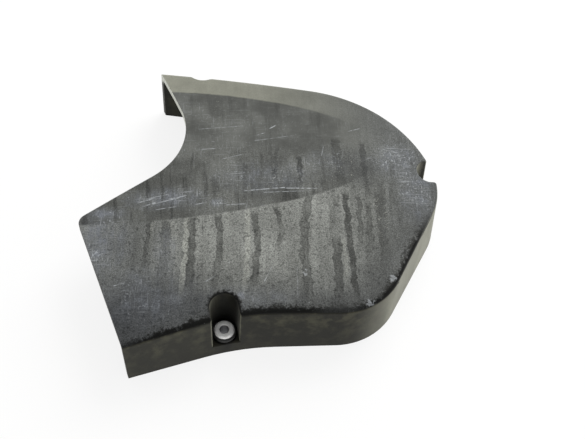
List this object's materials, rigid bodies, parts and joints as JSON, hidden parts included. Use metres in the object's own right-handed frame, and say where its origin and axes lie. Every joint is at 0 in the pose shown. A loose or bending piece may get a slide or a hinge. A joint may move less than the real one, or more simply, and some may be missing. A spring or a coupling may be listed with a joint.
{
  "type": "motorcycle front sprocket cover",
  "caption": "Shallow moulded cover for a motorcycle's front chain sprocket: crowned face, rounded end, open chain side with a round bite, and screw pockets with steel collars in rubber bushes.",
  "frame": {"origin": "axis of the front screw's collar, on the mounting plane that the rim lies on", "axes": "+X along the straight front wall towards the rounded end, +Y towards the back wall, +Z out of the engine along the screws, towards the outer face"},
  "size_m": [0.2143, 0.2042, 0.0439],
  "materials": {
    "cover_plastic": "worn black, dusty and streaked",
    "bush_rubber": "matte black",
    "collar_steel": "zinc plated, satin"
  },
  "bodies": {
    "root": {"cover_shell": "cover_plastic", "front_bush": "bush_rubber", "right_bush": "bush_rubber", "rear_bush": "bush_rubber", "front_collar": "collar_steel", "right_collar": "collar_steel", "rear_collar": "collar_steel"}
  },
  "joints": []
}
